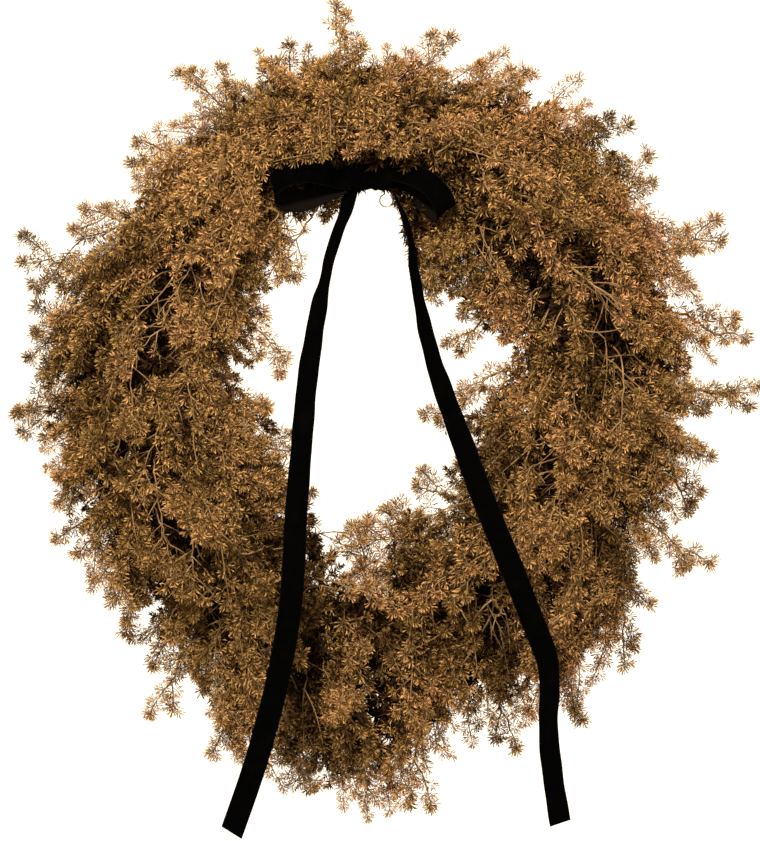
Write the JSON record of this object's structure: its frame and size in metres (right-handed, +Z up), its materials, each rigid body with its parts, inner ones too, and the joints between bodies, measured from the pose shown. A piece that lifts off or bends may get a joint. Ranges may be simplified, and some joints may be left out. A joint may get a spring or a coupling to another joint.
{
  "type": "dried cypress wreath",
  "caption": "Round hanging wreath of dried golden-brown cypress sprays on a twisted vine ring, with a black velvet ribbon bow and two long tails.",
  "frame": {"origin": "the hook seat: the lowest point of the ring's top, inside the hole, where the wreath rests on its hook", "axes": "+Z up as the wreath hangs, -Y out of its front, +X to the right seen from the front"},
  "size_m": [0.724, 0.1309, 0.7932],
  "materials": {
    "vine": "dark brown bark, dry and matte",
    "foliage": "dried cypress needles and twigs, golden brown, matte",
    "ribbon": "black velvet with a short soft pile",
    "wire": "thin drawn wire"
  },
  "bodies": {
    "root": {"bow_knot": "ribbon", "bow_loop_left": "ribbon", "bow_loop_right": "ribbon", "bow_wire": "wire", "front_bunch_01": "foliage", "front_bunch_02": "foliage", "front_bunch_03": "foliage", "front_bunch_04": "foliage", "front_bunch_05": "foliage", "front_bunch_06": "foliage", "front_bunch_07": "foliage", "front_bunch_08": "foliage", "front_bunch_09": "foliage", "front_bunch_10": "foliage", "front_bunch_11": "foliage", "inner_bunch_01": "foliage", "inner_bunch_02": "foliage", "inner_bunch_03": "foliage", "inner_bunch_04": "foliage", "inner_bunch_05": "foliage", "inner_bunch_06": "foliage", "inner_bunch_07": "foliage", "inner_bunch_08": "foliage", "inner_bunch_09": "foliage", "inner_bunch_10": "foliage", "inner_bunch_11": "foliage", "inner_bunch_12": "foliage", "inner_bunch_13": "foliage", "outer_bunch_01": "foliage", "outer_bunch_02": "foliage", "outer_bunch_03": "foliage", "outer_bunch_04": "foliage", "outer_bunch_05": "foliage", "outer_bunch_06": "foliage", "outer_bunch_07": "foliage", "outer_bunch_08": "foliage", "outer_bunch_09": "foliage", "outer_bunch_10": "foliage", "outer_bunch_11": "foliage", "outer_bunch_12": "foliage", "outer_bunch_13": "foliage", "outer_bunch_14": "foliage", "outer_bunch_15": "foliage", "outer_bunch_16": "foliage", "outer_bunch_17": "foliage", "outer_bunch_18": "foliage", "outer_bunch_19": "foliage", "outer_bunch_20": "foliage", "outer_bunch_21": "foliage", "outer_bunch_22": "foliage", "outer_bunch_23": "foliage", "outer_bunch_24": "foliage", "outer_bunch_25": "foliage", "outer_bunch_26": "foliage", "outer_bunch_27": "foliage", "ribbon_tail_left": "ribbon", "ribbon_tail_right": "ribbon", "vine_strand_1": "vine", "vine_strand_2": "vine", "vine_strand_3": "vine"}
  },
  "joints": []
}
